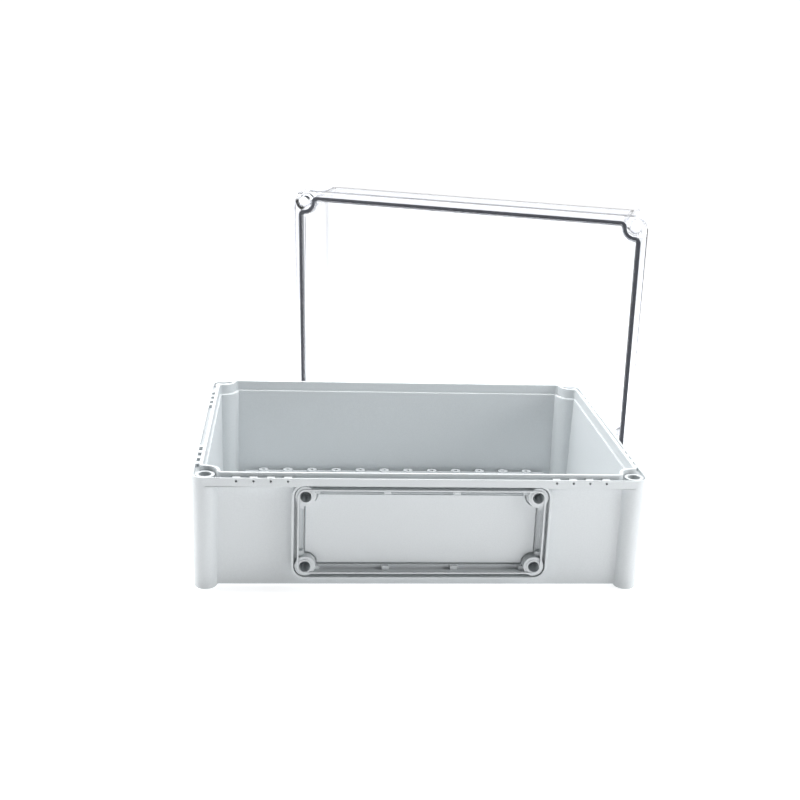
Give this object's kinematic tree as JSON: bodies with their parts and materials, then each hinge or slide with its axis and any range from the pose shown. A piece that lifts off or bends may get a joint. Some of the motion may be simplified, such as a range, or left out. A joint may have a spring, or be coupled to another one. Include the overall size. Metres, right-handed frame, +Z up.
{
  "type": "hinged polycarbonate enclosure",
  "caption": "Flat rectangular enclosure: opaque base with corner columns and a flange plate, and a deep clear cover with a black seal, standing off behind it.",
  "frame": {"origin": "on the floor under the middle of the base, midway between the four wall fixing holes, at the foot faces", "axes": "+Z up, out of the base's floor; X along the base's long side; the flange side faces -Y and the loose cover stands behind the base on +Y"},
  "size_m": [0.4684, 0.4995, 0.2841],
  "materials": {
    "base_plastic": "fine satin, moulded light grey",
    "clear_plastic": "polished transparent, faint blue cast",
    "seal_rubber": "matt black foam strip",
    "screw_plastic": "milky, slightly translucent"
  },
  "bodies": {
    "base": {"base_shell": "base_plastic", "flange_knockout_panel": "base_plastic"},
    "cover": {"cover_shell": "clear_plastic", "cover_seal": "seal_rubber"},
    "screw_upper_left": {"cover_screw_upper_left": "screw_plastic"},
    "screw_upper_right": {"cover_screw_upper_right": "screw_plastic"},
    "screw_lower_left": {"cover_screw_lower_left": "screw_plastic"},
    "screw_lower_right": {"cover_screw_lower_right": "screw_plastic"}
  },
  "joints": [
    {"name": "cover_lift", "type": "slide", "parent": "base", "child": "cover", "axis": [0, 0, 1], "range_m": [0, 0.15]},
    {"name": "screw_upper_left_turn", "type": "hinge", "parent": "cover", "child": "screw_upper_left", "pos_m": [-0.09259, 0.28199, 0.26949], "axis": [0.3573, 0.9307, 0.0785], "continuous": true},
    {"name": "screw_upper_right_turn", "type": "hinge", "parent": "cover", "child": "screw_upper_right", "pos_m": [0.24117, 0.15387, 0.26949], "axis": [0.3573, 0.9307, 0.0785], "continuous": true},
    {"name": "screw_lower_left_turn", "type": "hinge", "parent": "cover", "child": "screw_lower_left", "pos_m": [-0.08535, 0.30085, 0.01278], "axis": [0.3573, 0.9307, 0.0785], "continuous": true},
    {"name": "screw_lower_right_turn", "type": "hinge", "parent": "cover", "child": "screw_lower_right", "pos_m": [0.24841, 0.17273, 0.01278], "axis": [0.3573, 0.9307, 0.0785], "continuous": true}
  ]
}
